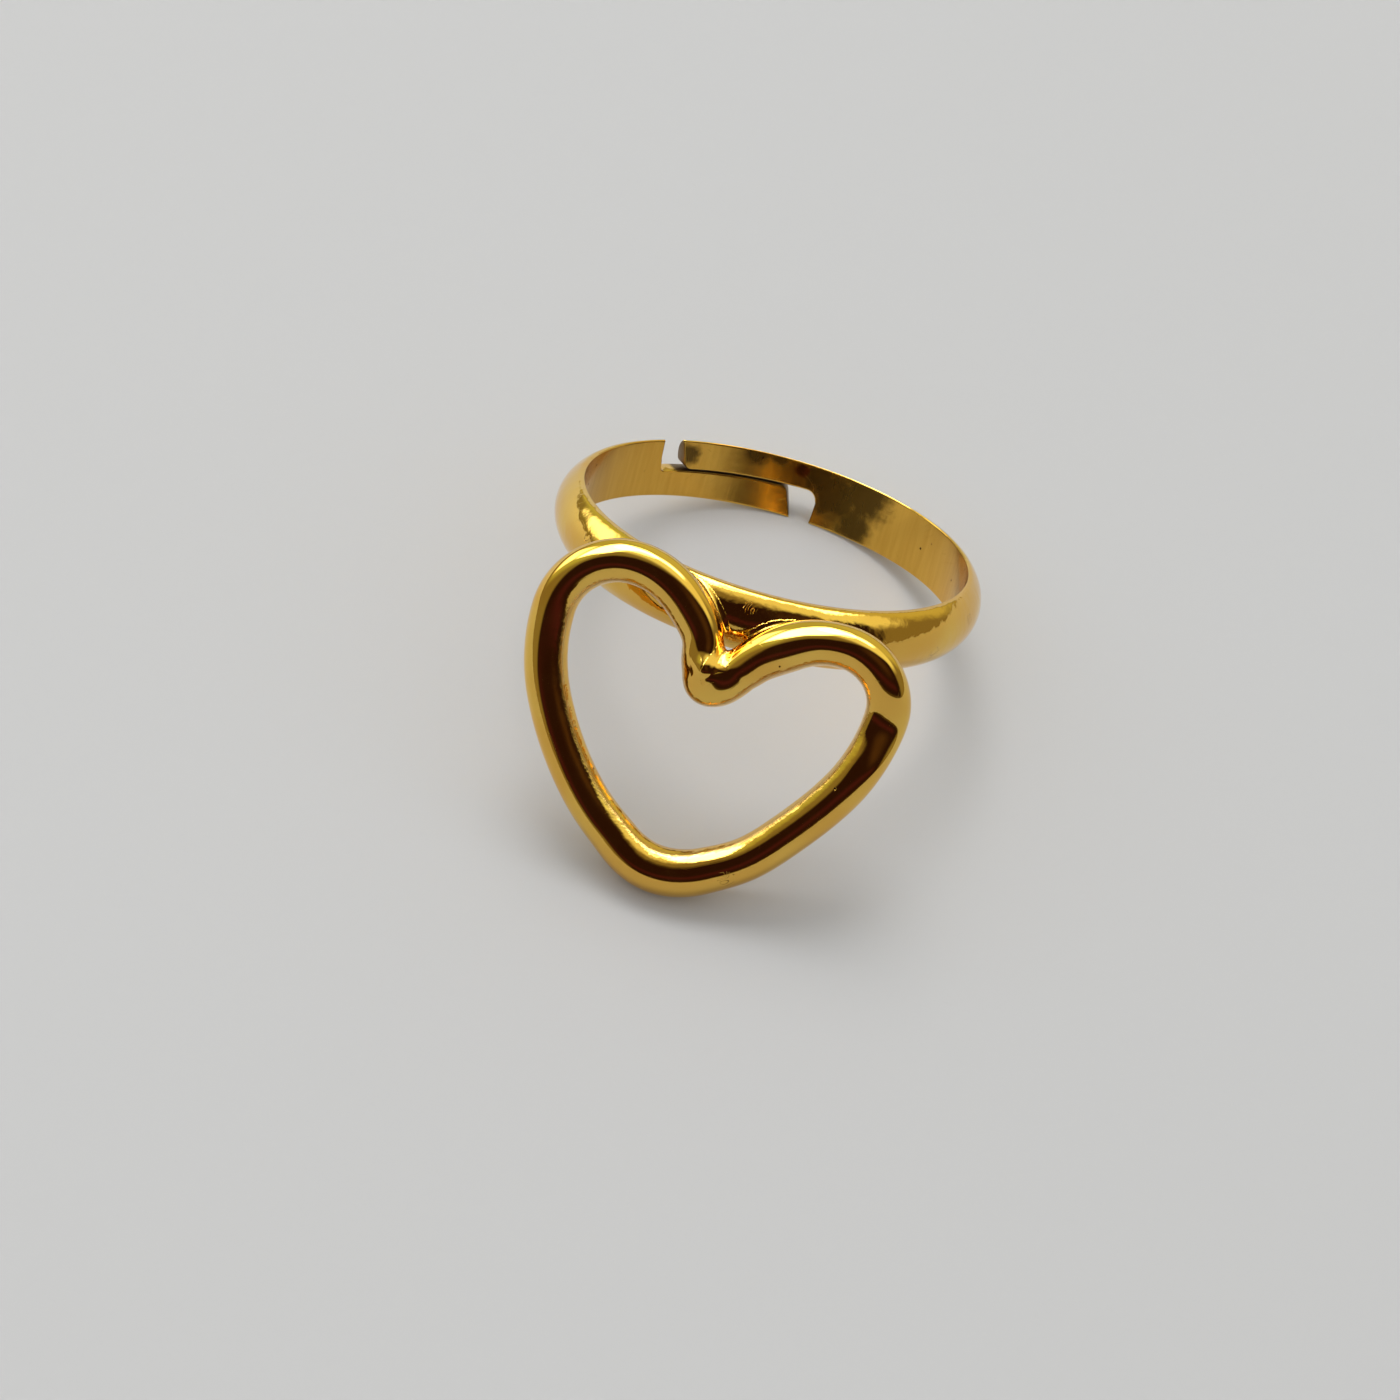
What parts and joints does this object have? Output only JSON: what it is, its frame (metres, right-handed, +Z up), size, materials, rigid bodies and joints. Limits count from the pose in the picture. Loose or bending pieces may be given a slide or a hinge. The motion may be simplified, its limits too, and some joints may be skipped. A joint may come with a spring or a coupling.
{
  "type": "finger ring",
  "caption": "Adjustable finger ring of gold-tone metal, with an open wire heart soldered to a domed band that is split at the back.",
  "frame": {"origin": "middle of the bounding box's underside, on the table that the ring lies on", "axes": "+Z up from the table; -Y towards the heart's front; +X to the right seen from the front; the finger's axis leans from +Z towards +Y"},
  "size_m": [0.0188, 0.0248, 0.0113],
  "materials": {
    "gold_metal": "polished gold tone"
  },
  "bodies": {
    "root": {"heart_ring": "gold_metal"}
  },
  "joints": []
}
